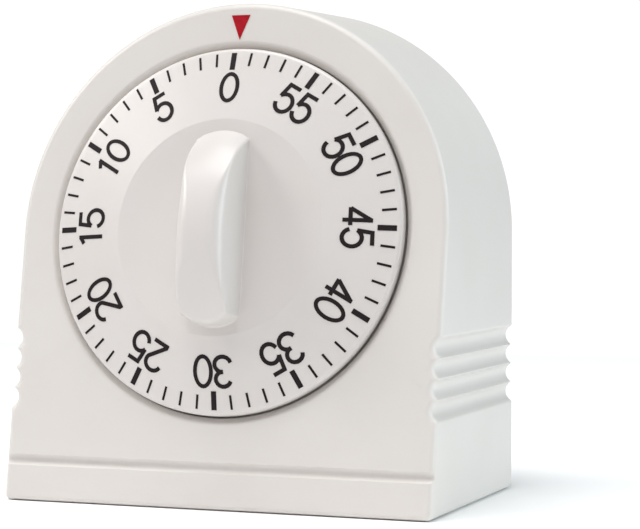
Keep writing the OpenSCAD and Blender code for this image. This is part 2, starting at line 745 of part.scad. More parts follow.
// Pin pallets: two upright pins on a forked lever, either side of the escape wheel's edge.
pin_path_r = escape_tip_r + pin_r + pin_clear;
function pin_c(s) = escape_c + polar(pin_path_r, balance_a + s * pin_a);
pallet_z = escape_z + 1.2;
pallet_w = 1.5;
pallet_t = 0.7;
pin_len = 2.4;
module pallet_lever() color(steel) on_dial() difference() {
    union() {
        for (s = [-1, 1]) {
            link(balance_c, pin_c(s), pallet_w, pallet_z, pallet_t);
            disc(pin_c(s), pallet_w / 2 + 0.05, pallet_z, pallet_t);
            disc(pin_c(s), pin_r, pallet_z, pin_len);
        }
        disc(balance_c, pallet_w + 0.2, pallet_z, pallet_t);
    }
    disc(balance_c, thin_arbor_r, 0, through);
}

balance_z = train_front_z - 1.2;
balance_tip_r = 1.5;
balance_reach = 7.6;
balance_t = 0.8;
// The bar is shortened where its weight would sweep over the cam.
balance_side = abs(balance_c * polar(1, balance_a + 90));
balance_off = sqrt(max(0, balance_c * balance_c - balance_side * balance_side));
balance_free = cam_r + balance_tip_r + 0.4;
balance_len = balance_off >= balance_free ? balance_reach :
    min(balance_reach, balance_side - sqrt(balance_free * balance_free - balance_off * balance_off));
module balance_bar() color(brass) on_dial() difference() {
    union() {
        for (s = [-1, 1]) {
            tip = balance_c + polar(s * balance_len, balance_a + 90);
            link(balance_c, tip, lever_w, balance_z, balance_t);
            disc(tip, balance_tip_r, balance_z + 0.2, balance_t + 0.4);
        }
        disc(balance_c, 1.8, balance_z, balance_t);
    }
    disc(balance_c, thin_arbor_r, 0, through);
}

module ring_wheel() color(brass) on_dial() difference() {
    translate([ring_c[0], ring_c[1], ring_z - wheel_t]) linear_extrude(wheel_t)
        saw_outline(ring_teeth, ring_tip_r, ring_tip_r - ring_tooth);
    disc(ring_c, thin_arbor_r, 0, through);
}

// The hammer's arbor runs through both plates, with its tail between them and its arm behind.
module hammer_arbor() color(steel) on_dial() {
    disc(hammer_c, hammer_arbor_r, plate_front_z + 1, plate_front_z + 1 - lever_z + lever_t + 0.4);
    disc(hammer_c, hammer_arbor_r + 0.5, train_front_z - 0.2, 1.2);
}

tail_a = atan2(ring_c[1] - hammer_c[1], ring_c[0] - hammer_c[0]);
tail_len = norm(ring_c - hammer_c) - ring_tip_r - 0.45;
lock_a = -105;
lock_len = 6;
module hammer_tail() color(steel) on_dial() difference() {
    union() {
        disc(hammer_c, 2, ring_z, wheel_t);
        link(hammer_c, hammer_c + polar(tail_len, tail_a), lever_w, ring_z, wheel_t);
        link(hammer_c, hammer_c + polar(lock_len, lock_a), lever_w, ring_z, wheel_t);
    }
    disc(hammer_c, hammer_arbor_r, 0, through);
}

module hammer_lever() color(steel) on_dial() difference() {
    union() {
        disc(hammer_c, lever_eye_r, lever_z, lever_t);
        link(hammer_c, head_c, 1.8, lever_z, lever_t);
        disc(head_c, 2 * head_rivet_r, lever_z, lever_t);
    }
    disc(hammer_c, hammer_arbor_r, 0, through);
    disc(head_c, head_rivet_r, 0, through);
}

module hammer_head() color(brass) on_dial() {
    disc(head_c, head_r, lever_z - lever_t, head_len);
    disc(head_c, head_rivet_r, lever_z + 0.1, lever_t + 0.2);
}

// Release lever: its nose rides the cam, and its tab holds the hammer's tail off the ring wheel.
nose_c = polar(cam_r + nose_r + 0.25, nose_a);
tab_c = hammer_c + polar(lock_len - 1.2, lock_a) + polar(1.95, lock_a + 90);
module release_lever() color(steel) on_dial() difference() {
    union() {
        disc(release_c, lever_eye_r, cam_z, cam_t);
        link(release_c, nose_c, lever_w, cam_z, cam_t);
        disc(nose_c, nose_r, cam_z, cam_t);
        link(release_c, tab_c, lever_w, cam_z, cam_t);
        disc(tab_c, lever_w / 2, cam_z, cam_z - ring_z + wheel_t);
    }
    disc(release_c, release_pin_r + fit, 0, through);
}

housing();
rear_cover();
feet();
rear_cover_screws();
pointer_mark();
movement_screws();
front_plate();
back_plate();
pillars();
pillar_screws();
arbor_bushes();
spring_post();
mainspring();
bell();
bell_post();
bell_nut();
release_pivot();
dial();
dial_markings();
main_arbor();
cam_disc();
ratchet_wheel();
thrust_washer();
great_wheel();
click_rivet();
click();
second_arbor();
second_wheel();
third_arbor();
third_wheel();
escape_arbor();
escape_wheel();
balance_arbor();
pallet_lever();
balance_bar();
ring_arbor();
ring_wheel();
hammer_arbor();
hammer_tail();
hammer_lever();
hammer_head();
release_lever();
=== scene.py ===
"""A manual kitchen timer: an arched plastic case with a leaning front, a white turning dial with a
bar grip, and the clockwork behind it."""

import json
import math

import bmesh
import bpy
import numpy as np
from bpy.props import FloatProperty, FloatVectorProperty, PointerProperty
from bpy.types import Operator, Panel, PropertyGroup
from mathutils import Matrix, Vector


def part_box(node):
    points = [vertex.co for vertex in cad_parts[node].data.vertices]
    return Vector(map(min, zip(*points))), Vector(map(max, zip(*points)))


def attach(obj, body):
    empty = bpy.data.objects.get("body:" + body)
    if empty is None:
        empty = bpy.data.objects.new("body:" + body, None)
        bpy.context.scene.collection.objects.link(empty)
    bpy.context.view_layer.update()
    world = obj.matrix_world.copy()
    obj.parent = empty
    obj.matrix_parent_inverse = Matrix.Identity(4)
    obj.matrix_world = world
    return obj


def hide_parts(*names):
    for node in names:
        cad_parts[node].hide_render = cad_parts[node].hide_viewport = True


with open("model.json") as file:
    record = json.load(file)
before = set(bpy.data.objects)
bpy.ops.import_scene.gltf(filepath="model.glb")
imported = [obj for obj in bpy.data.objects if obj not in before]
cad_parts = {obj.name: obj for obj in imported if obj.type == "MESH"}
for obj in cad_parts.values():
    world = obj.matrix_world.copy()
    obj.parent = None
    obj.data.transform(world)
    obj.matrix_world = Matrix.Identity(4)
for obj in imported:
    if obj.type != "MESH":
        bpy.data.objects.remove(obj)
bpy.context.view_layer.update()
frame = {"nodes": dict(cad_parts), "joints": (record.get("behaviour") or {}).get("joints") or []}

bl_info = {
    "name": "Kitchen timer",
    "version": (1, 0, 0),
    "blender": (4, 5, 0),
    "location": "View3D > Sidebar > Timer",
    "description": "Makes a wind-up kitchen timer round its packed frame, piece by piece",
    "category": "Object",
}

MM = 0.001

# What the frame says, in millimetres.
HOUSING_LOW, HOUSING_HIGH = (np.array(c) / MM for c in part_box("housing"))
DIAL_JOINT = next(j for j in frame["joints"] if j["name"] == "dial_turn")
LEAN = math.atan2(-DIAL_JOINT["axis"][2], DIAL_JOINT["axis"][1])
FRONT_Y, REAR_Y = HOUSING_LOW[1], HOUSING_HIGH[1]
DEPTH = REAR_Y - FRONT_Y
HALF_BACK = HOUSING_HIGH[0]
ARCH_Z = HOUSING_HIGH[2] - HALF_BACK
DIAL_S = ARCH_Z / math.cos(LEAN)
SIN, COS, TAN = math.sin(LEAN), math.cos(LEAN), math.tan(LEAN)
REST_TURN = math.radians(0.5)
SCALLOPS = 4
BROKEN_EDGE_ANGLE = math.radians(38)

# The camera: its place in metres, how far it looks down and is turned in degrees, its lens in mm.
CAMERA_PLACE = (0.15349, -0.38350, 0.05680)
CAMERA_DOWN, CAMERA_TURN, CAMERA_LENS, CAMERA_SENSOR = 1.366, 20.09, 113.7, 36


# ---------------------------------------------------------------- sizes and colours


def size(name, default, text):
    return FloatProperty(
        name=name, default=default * MM, description=text, unit="LENGTH", subtype="DISTANCE",
        precision=5
    )


def colour(name, default, text):
    return FloatVectorProperty(
        name=name, default=default, description=text, subtype="COLOR", size=3, min=0, max=1
    )


class TimerSizes(PropertyGroup):
    """Sizes of the pieces made here, beyond what the frame gives."""

    draft: size("Case draft", 1.7, "How much each side moves out from front to back")
    wall: size("Wall", 2.4, "Thickness of the case's wall")
    edge: size("Front edge", 1.15, "Radius of the case's front edge")
    rim: size("Rear rim edge", 0.6, "Radius of the case's rear edge")
    opening: size("Dial opening", 38, "Radius of the opening for the dial")
    lip: size("Opening lip", 0.35, "Radius of the lip round the dial opening")
    stand: size("Stand", 0.15, "How far the feet stand out of the base")
    cone: size("Well cone", 1.3, "Depth of the sloping band just inside the dial opening")
    cone_in: size("Well cone width", 1.2, "How far that band leads in")
    tray: size("Tray depth", 4, "Depth of the well behind the dial")
    tray_wall: size("Tray wall", 2, "Thickness of the tray")
    hub_hole: size("Hub hole", 6.3, "Radius of the tray's hole for the dial hub")
    groove_s: size("Groove place", 8.3, "Height of the front groove up the face")
    groove_r: size("Groove radius", 0.95, "Radius of the front groove's round bottom")
    groove_depth: size("Groove depth", 0.7, "Depth of the front groove")
    groove_lip: size("Groove lip", 0.22, "Radius of the groove's upper and lower lips")
    scallop_z: size("First scallop", 20.4, "Height of the lowest finger scallop")
    scallop_pitch: size("Scallop pitch", 3.9, "Distance from one finger scallop to the next")
    scallop_depth: size("Scallop depth", 1.3, "Depth of a finger scallop")
    scallop_crest: size("Scallop crest", 0.3, "Radius of the crest between two scallops")
    dial_r: size("Dial radius", 36.5, "Radius of the dial")
    dial_proud: size("Dial proud", 1.3, "How far the dial stands out of the face")
    dial_t: size("Dial thickness", 3, "Thickness of the dial at its rim")
    crown_r: size("Crown radius", 21.4, "Radius of the flat crown in the middle of the dial")
    crown_rise: size(
        "Crown rise", 3.4, "How far the dial rises like a cone from its edge to the crown"
    )
    grip_len: size("Grip length", 39.2, "Length of the bar grip")
    grip_w: size("Grip width", 11, "Width of the bar grip at its foot")
    grip_in: size("Grip taper", 1.0, "How far each flank leans in on its way up")
    grip_h: size("Grip height", 10.6, "Height of the crest over the crown")
    grip_end: size("Grip end", 8.6, "Radius of the bar grip's two ends")
    grip_foot: size("Grip foot", 0.3, "Radius of the fillet at the foot of the grip")
    crest_r: size("Crest radius", 25.5, "Radius of the crest's arc, seen from the side")
    crest_drop: size("Crest place", 1.7, "How far below the dial centre the crest is highest")


class TimerColours(PropertyGroup):
    """Colours of the pieces."""

    case: colour("Housing plastic", (0.675, 0.645, 0.618), "Warm white of the case")
    dial: colour("Dial plastic", (0.665, 0.632, 0.612), "White of the dial and grip")
    ink: colour("Ink", (0.014, 0.010, 0.011), "Black of the dial's numbers and marks")
    red_ink: colour("Red ink", (0.30, 0.004, 0.012), "Red of the pointer")
    # Also the colour of the painted shade in the recesses.
    dust: colour("Dust", (0.50, 0.47, 0.42), "Grey of the dust in the hollows")
    brass: colour("Brass", (0.78, 0.56, 0.22), "Brass of the plates and wheels")
    steel: colour("Steel", (0.56, 0.57, 0.58), "Steel of the arbors")
    zinc: colour("Zinc", (0.62, 0.62, 0.60), "Zinc plate of the screws")
    blued: colour("Blued steel", (0.07, 0.10, 0.19), "Blued steel of the mainspring")
    rubber: colour("Rubber", (0.045, 0.045, 0.048), "Dark grey of the feet")
    bell: colour("Bell", (0.72, 0.72, 0.72), "Bright plate of the bell")


def sizes():
    """The sizes as they are now, in millimetres."""
    group = bpy.context.scene.timer_sizes
    return {key: getattr(group, key) / MM for key in TimerSizes.__annotations__}


def colours():
    """The colours as they are now, with full alpha."""
    group = bpy.context.scene.timer_colours
    return {key: (*getattr(group, key), 1.0) for key in TimerColours.__annotations__}


# ---------------------------------------------------------------- surfaces


def from_face(x, s, h):
    """A point x across, s up the leaning face and h out of it: y = front + s sin(lean) - h
    cos(lean), z = s cos(lean) + h sin(lean)."""
    x, s, h = np.broadcast_arrays(x, s, h)
    return np.stack([x, FRONT_Y + s * SIN - h * COS, s * COS + h * SIN], -1)


def from_dial(x, y, h):
    """The same, from the dial centre and turned by the dial's angle at rest."""
    c, n = math.cos(REST_TURN), math.sin(REST_TURN)
    return from_face(c * x - n * y, DIAL_S + n * x + c * y, h)


def to_face(p):
    """The point's x, its place up the face and its height out of the face plane."""
    y, z = p[..., 1] - FRONT_Y, p[..., 2]
    return p[..., 0], y * SIN + z * COS, z * SIN - y * COS


def round_max(a, b, r):
    """Where both distances are inside, joined by an arc of radius r: |(a+r, b+r) cut off at 0| - r,
    and the larger one away from the corner."""
    inside = np.minimum(np.maximum(a + r, b + r), 0)
    return inside + np.hypot(np.maximum(a + r, 0), np.maximum(b + r, 0)) - r


def slope(field, p, step=1e-3):
    """The field's slope at each point, by central differences."""
    parts = [(field(p + step * e) - field(p - step * e)) / (2 * step) for e in np.eye(3)]
    return np.stack(parts, -1)


def settle(p, field, rounds=10):
    """Moves each point onto the surface field = 0 along the field's slope: p - f g / |g|^2, a few
    times."""
    for _ in range(rounds):
        g = slope(field, p)
        p = p - (field(p) / np.maximum((g * g).sum(-1), 1e-9))[..., None] * g
    return p


def sink(p, normal, field, deepest):
    """Moves each point straight in from the skin, by the t between 0 and deepest where field(p - t
    normal) = 0, found by halving."""
    low, high = np.zeros(p.shape[:-1]), np.full(p.shape[:-1], float(deepest))
    for _ in range(26):
        middle = (low + high) / 2
        out = field(p - middle[..., None] * normal) > 1e-6
        low, high = np.where(out, middle, low), np.where(out, high, middle)
    return p - low[..., None] * normal


def arc_steps(r, n):
    """Distances 0..r from a sharp corner whose points land evenly on a rounding of radius r: r (1 -
    tan a), a from 45 degrees to 0."""
    return r * (1 - np.tan(np.linspace(math.pi / 4, 0, n)))


def along(start, stop, rows):
    """Rows between two loops: start + (stop - start) (a / length + b) for each (a, b), so a is a
    distance in mm and b a share."""
    gap = stop - start
    length = np.linalg.norm(gap, axis=-1)[..., None]
    return np.stack([start + gap * (a / length + b) for a, b in rows])


def ends_rows(near, far, middle):
    """(a, b) rows that are dense by the distances `near` at the start and `far` at the end, with
    `middle` even steps between."""
    t = np.linspace(0, 1, middle + 2)[1:-1]
    inner = [(near[-1] * (1 - v) - far[-1] * v, v) for v in t]
    return [(d, 0.0) for d in near] + inner + [(-d, 1.0) for d in far[::-1]]


class Skin:
    """Grids of points gathered into one closed mesh."""

    def __init__(self):
        self.points, self.quads, self.extra, self.count = [], [], {"worn": [], "hollow": []}, 0

    def grid(self, p, wrap_u=False, worn=None, hollow=None):
        """Adds a grid of points, rows by columns: each quad joins (i, j), (i, j+1), (i+1, j+1),
        (i+1, j). With wrap_u the last column joins the first."""
        rows, cols = p.shape[:2]
        index = np.arange(rows * cols).reshape(rows, cols) + self.count
        if wrap_u:
            index = np.concatenate([index, index[:, :1]], 1)
        self.quads.append(np.stack(
            [index[:-1, :-1], index[:-1, 1:], index[1:, 1:], index[1:, :-1]], -1
        ).reshape(-1, 4))
        self.points.append(p.reshape(-1, 3))
        for key, value in (("worn", worn), ("hollow", hollow)):
            self.extra[key].append(np.zeros(rows * cols) if value is None else value.ravel())
        self.count += rows * cols

    def piece(self, name, material, body, slot, replaces=(), sharp=35.0, weld=2e-6):
        """Makes the object: doubles merged, normals turned outwards, edges over `sharp` degrees
        kept crisp."""
        mesh = bpy.data.meshes.new(name)
        points = np.concatenate(self.points) * MM
        mesh.from_pydata(points, [], np.concatenate(self.quads))
        for key, parts in self.extra.items():
            values = np.concatenate(parts).astype(np.float32)
            mesh.attributes.new(key, "FLOAT", "POINT").data.foreach_set("value", values)
        bm = bmesh.new()
        bm.from_mesh(mesh)
        bmesh.ops.remove_doubles(bm, verts=bm.verts, dist=weld)
        bmesh.ops.dissolve_degenerate(bm, dist=weld / 4, edges=bm.edges)
        bmesh.ops.recalc_face_normals(bm, faces=bm.faces)
        bm.to_mesh(mesh)
        bm.free()
        mesh.shade_smooth()
        mesh.set_sharp_from_angle(angle=math.radians(sharp))
        piece = bpy.data.objects.new(name, mesh)
        bpy.context.scene.collection.objects.link(piece)
        piece.data.materials.append(material)
        even = piece.modifiers.new("Even shading", "WEIGHTED_NORMAL")
        even.keep_sharp = True
        even.weight = 60
        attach(piece, body)
        if replaces:
            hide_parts(*replaces)
        return piece


def turned(skin, profile, place, count=180, **masks):
    """Adds a surface of revolution: each (radius, height) of the profile swept round, as (r cos a,
    r sin a, h), placed by `place`."""
    a = np.linspace(0, 2 * math.pi, count, endpoint=False)
    r, h = np.array(profile, float).T
    skin.grid(
        place(r[:, None] * np.cos(a), r[:, None] * np.sin(a), np.repeat(h[:, None], count, 1)),
        wrap_u=True, **masks
    )


def rounded(corners, r, steps=5):
    """A profile with its inner corners rounded by quadratic curves that start r before each corner
    and end r after it."""
    corners = np.array(corners, float)
    t = np.linspace(0, 1, steps)[:, None]
    parts = [corners[:1]]
    for before, at, after in zip(corners[:-2], corners[1:-1], corners[2:]):
        u, v = before - at, after - at
        lu, lv = np.hypot(*u), np.hypot(*v)
        p, q = at + u / lu * min(r, lu * 0.45), at + v / lv * min(r, lv * 0.45)
        parts.append((1 - t) ** 2 * p + 2 * t * (1 - t) * at + t**2 * q)
    return np.concatenate(parts + [corners[-1:]])


# ---------------------------------------------------------------- the case


def case_stations(z):
    """Stations round the case's outline: right side up, arch over, left side down, base back. Each
    is a share of the half-width, a share of the height to the arch's centre and a share of the
    radius above it."""
    s = sizes()
    side_z = np.concatenate([
        arc_steps(s["edge"], 6),
        np.linspace(s["edge"], z["groove"][0], 7)[1:],
        np.linspace(*z["groove"], 24)[1:],
        np.linspace(z["groove"][1], z["split"], 4)[1:],
        np.linspace(z["split"], z["scallops"][0], 7)[1:],
        np.linspace(*z["scallops"], 62)[1:],
        np.linspace(z["scallops"][1], ARCH_Z, 12)[1:],
    ])
    q = side_z / ARCH_Z
    a = np.linspace(0, math.pi, 126)[1:-1]
    half = HALF_BACK - s["draft"]
    near = 1 - arc_steps(s["edge"], 6)[1:] / half
    base = np.concatenate([-near, np.linspace(-near[-1], near[-1], 50)[1:-1], near[::-1]])
    one, zero = np.ones_like(q), np.zeros_like(q)
    x = np.concatenate([one, np.cos(a), -one, base])
    height = np.concatenate([q, np.ones_like(a), q[::-1], 0 * base])
    above = np.concatenate([zero, np.sin(a), zero, 0 * base])
    return {"x": x, "height": height, "above": above, "q": q, "base": base, "arch": len(a)}


def scallop_circle(s):
    """The radius of a scallop's arc, from its chord and depth: (a^2 + d^2) / 2d."""
    return ((s["scallop_pitch"] / 2) ** 2 + s["scallop_depth"] ** 2) / (2 * s["scallop_depth"])


def case_outline(st, y, inset):
    """The outline at depth y behind the front: (X (r - scallop), y, floor + Q (arch - floor) + S
    r), with r the half-width there less the inset and the scallops only on the outside."""
    s = sizes()
    r = HALF_BACK - s["draft"] + y * s["draft"] / DEPTH - inset
    z = inset + st["height"] * (ARCH_Z - inset) + st["above"] * r
    pitch, radius = s["scallop_pitch"], scallop_circle(s)
    off = z - s["scallop_z"]
    off = off - pitch * np.clip(np.round(off / pitch), 0, SCALLOPS - 1)
    notch = np.maximum(
        np.sqrt(np.maximum(radius**2 - off**2, 0)) - radius + s["scallop_depth"], 0
    ) * (inset == 0)
    return np.stack([st["x"] * (r - notch), FRONT_Y + y * np.ones_like(r), z], -1)


def front_edge(st, inset):
    """Depth at which each station meets the face plane moved back by the inset: y = inset / cos +
    tan z(y), solved for y."""
    s = sizes()
    k = s["draft"] / DEPTH
    r0 = HALF_BACK - s["draft"] - inset
    level = inset + st["height"] * (ARCH_Z - inset)
    return (inset / COS + TAN * (level + st["above"] * r0)) / (1 - TAN * st["above"] * k)


def case_body(p, s):
    """Distance outside the case without its groove: the drafted arch less the finger scallops, the
    base, the leaning face and the back, joined by round edges, less the dial opening with its
    sloping band."""
    x, up, out = to_face(p)
    y, z = p[..., 1] - FRONT_Y, p[..., 2]
    r = HALF_BACK - s["draft"] + y * s["draft"] / DEPTH
    shell = np.where(z < ARCH_Z, np.abs(x), np.hypot(x, z - ARCH_Z)) - r
    radius = scallop_circle(s)
    for i in range(SCALLOPS):
        level = s["scallop_z"] + i * s["scallop_pitch"]
        scallop = radius - np.hypot(np.abs(x) - (r + radius - s["scallop_depth"]), z - level)
        shell = round_max(shell, scallop, s["scallop_crest"])
    body = round_max(
        round_max(round_max(shell, s["stand"] - z, s["edge"]), out, s["edge"]), y - DEPTH, s["rim"]
    )
    return round_max(body, well_radius(out, s) - np.hypot(x, up - DIAL_S), s["lip"])


def well_radius(h, s):
    """The dial opening's radius at height h: it narrows evenly over the sloping band, then stays."""
    return s["opening"] + s["cone_in"] * np.clip(h / s["cone"], -1, 0)


def case_cut(p, s):
    """The same less the front groove, a channel across the face whose section is half an ellipse."""
    _, up, out = to_face(p)
    groove = s["groove_r"] - np.hypot(
        up - s["groove_s"], np.minimum(out + 0.05, 0) * s["groove_r"] / s["groove_depth"]
    )
    return round_max(case_body(p, s), groove, s["groove_lip"])


def make_case(material):
    """The case: its outer skin is the body's surface, sunk straight in where the groove cuts it;
    the inside, the tray behind the dial and the rear rim close it."""
    s = sizes()
    pitch = s["scallop_pitch"]
    # Where the stations lie close: about the groove and over the scallops, each with a margin. The
    # face is a strip of rows below the split and runs outwards from the dial opening above it.
    groove_margin, scallop_margin, deepest_cut = 1.7, 0.4, 2.2
    z = {
        "groove": ((s["groove_s"] - groove_margin) * COS, (s["groove_s"] + groove_margin) * COS),
        "split": 12.0,
        "scallops": (
            s["scallop_z"] - pitch / 2 - scallop_margin,
            s["scallop_z"] + (SCALLOPS - 0.5) * pitch + scallop_margin
        ),
    }
    st = case_stations(z)
    nq, nb = len(st["q"]), len(st["base"])
    split = int(np.argmin(abs(st["q"] * ARCH_Z - z["split"])))
    skin = Skin()

    def uncut(p):
        return case_body(p, s)

    def cut(p):
        return case_cut(p, s)

    def carve(p, well_shade=0.0, **wrap):
        """Rounds the edges, then sinks the cuts, and notes where the skin is worn and how much
        painted shade it gets, by the groove's depth and in the dial well."""
        smooth = settle(p, uncut)
        normal = slope(uncut, smooth)
        normal /= np.linalg.norm(normal, axis=-1)[..., None]
        deep = sink(smooth, normal, cut, deepest_cut)
        worn = np.clip(np.linalg.norm(smooth - p, axis=-1) / (0.35 * s["edge"]), 0, 1)
        # Painted shade in the groove, darker where the skin is sunk further, and in the dial well.
        hollow = np.maximum(
            np.clip(np.linalg.norm(deep - smooth, axis=-1) / s["groove_r"], 0, 1), well_shade
        )
        skin.grid(deep, worn=worn, hollow=hollow, **wrap)

    # Sides, arch and base, from the front edge back; then the rear rim.
    start = front_edge(st, 0)
    rows = ends_rows(arc_steps(s["edge"], 7), arc_steps(s["rim"], 4), 22)
    side = np.stack([case_outline(st, start + a + b * (DEPTH - start), 0) for a, b in rows])
    carve(side, wrap_u=True)
    back_out = case_outline(st, np.full(len(st["x"]), DEPTH), 0)
    back_in = case_outline(st, np.full(len(st["x"]), DEPTH), s["wall"])
    carve(
        along(back_out, back_in, [(d, 0) for d in arc_steps(s["rim"], 4)] + [(0, 0.6)]), wrap_u=True
    )
    skin.grid(along(back_out, back_in, [(0, 0.6), (0, 1)]), wrap_u=True)

    def face_parts(inset, radius):
        """The face plane at this inset: the strip below the split, and the two loops that the
        radial part runs between."""
        edge = case_outline(st, front_edge(st, inset), inset)
        right = edge[: split + 1]
        left = edge[nq + st["arch"] : 2 * nq + st["arch"]][::-1][: split + 1]
        share = np.concatenate([[-1], st["base"], [1]])[None, :, None]
        strip = (left[:, None] * (1 - share) + right[:, None] * (1 + share)) / 2
        loop = np.concatenate([edge[split : nq + st["arch"] + nq - split], strip[-1][1:-1]])
        x, up, out = to_face(loop)
        length = np.hypot(x, up - DIAL_S)
        way = (x / length, (up - DIAL_S) / length)
        circle = from_face(radius * way[0], DIAL_S + radius * way[1], out)
        return strip, loop, circle, way

    strip, loop, circle, way = face_parts(0, s["opening"])
    carve(strip)
    slant = np.ones(len(loop))
    sides = np.r_[0 : nq - split, len(loop) - nb - (nq - split) : len(loop) - nb]
    slant[sides] = 1 / np.maximum(abs(way[0][sides]), 0.5)
    rows = ends_rows(arc_steps(s["edge"], 7), arc_steps(s["lip"], 5), 14)
    gap = circle - loop
    length = np.linalg.norm(gap, axis=-1)
    radial = [
        loop + gap * ((a * (slant if b == 0 else 1) / length + b)[:, None]) for a, b in rows
    ]
    carve(np.stack(radial), wrap_u=True)

    def ring(radius, h):
        """A loop of the tray: radius times each station's way from the dial centre, at height h."""
        return from_face(radius * way[0], DIAL_S + radius * way[1], h)

    levels = np.array([
        *-arc_steps(s["lip"], 5), -0.6, -s["cone"] + 0.03, -s["cone"], -s["cone"] - 0.1,
        0.5 - s["tray"]
    ])
    # The well's lip, sloping band and tray floor get painted shade, full from half a millimetre
    # down.
    carve(
        np.stack([ring(well_radius(h, s), h) for h in levels]),
        well_shade=np.clip(-levels / 0.5, 0, 1)[:, None], wrap_u=True
    )
    well = float(well_radius(-s["tray"], s))
    behind = -s["tray"] - s["tray_wall"]
    turn = rounded(
        [
            (well, 0.5 - s["tray"]), (well, -s["tray"]), (s["hub_hole"], -s["tray"]),
            (s["hub_hole"], behind), (well + s["tray_wall"], behind),
            (well + s["tray_wall"], -s["wall"])
        ],
        0.4
    )
    skin.grid(np.stack([ring(r, h) for r, h in turn]), wrap_u=True)
    strip_in, loop_in, _, _ = face_parts(s["wall"], well)
    skin.grid(
        along(
            ring(well + s["tray_wall"], -s["wall"]), loop_in, [(0, b) for b in np.linspace(0, 1, 6)]
        ),
        wrap_u=True
    )
    skin.grid(strip_in)
    start = front_edge(st, s["wall"])
    inside = [
        case_outline(st, start + b * (DEPTH - start), s["wall"]) for b in np.linspace(0, 1, 8)
    ]
    skin.grid(np.stack(inside), wrap_u=True)
    return skin.piece("case_shell", material, "case", "case", ["housing"])


# ---------------------------------------------------------------- the dial and its grip


def make_dial(material):
    """The dial: a profile turned round its axis, with a flat crown, a cone falling to a round rim,
    and a bored hub behind."""
    s = sizes()
    top, bottom = s["dial_proud"], s["dial_proud"] - s["dial_t"]
    rim, hub, bore, cap, first = 1.0, 5.5, 2.45, 0.6, 0.4
    crown = top + s["crown_rise"]
    lean = math.atan2(s["crown_rise"], s["dial_r"] - rim - s["crown_r"])
    face = rounded(
        [
            (first, crown), (s["crown_r"], crown),
            (s["dial_r"] - rim + rim * math.sin(lean) * 0.5, top)
        ],
        0.12
    )
    a = np.linspace(math.pi / 2 - lean, -math.pi / 2, 15)
    edge = np.stack(
        [
            s["dial_r"] - rim + rim * np.cos(a),
            np.where(a > 0, top - rim, bottom + rim) + rim * np.sin(a)
        ],
        1
    )
    deep = -s["tray"] - s["tray_wall"] - 1.2
    back = rounded(
        [
            (s["dial_r"] - 2, bottom), (hub, bottom), (hub, deep), (bore, deep),
            (bore, bottom + cap), (first, bottom + cap)
        ],
        0.25
    )
    cone = face[-2] + (face[-1] - face[-2]) * np.linspace(0.1, 0.95, 12)[:, None]
    profile = np.concatenate([[(0, crown)], face[:-1], cone, edge, back, [(0, bottom + cap)]])
    skin = Skin()
    rows = len(profile)
    worn, hollow = np.zeros((rows, 240)), np.zeros((rows, 240))
    worn[len(face) + len(cone) : len(face) + len(cone) + len(edge)] = 1
    worn[3:6] = 0.3
    turned(skin, profile, from_dial, 240, worn=worn, hollow=hollow)
    return skin.piece("dial_disc", material, "dial", "dial", ["dial"], sharp=30)


def grip_plan(x, y, s):
    """Distance outside the grip's outline: the bar |x| < w/2, met by two end arcs."""
    end = s["grip_len"] / 2 - s["grip_end"]
    ends = np.hypot(x, np.maximum(abs(y) - end, 0)) - s["grip_end"]
    return round_max(abs(x) - s["grip_w"] / 2, ends, 0.3)


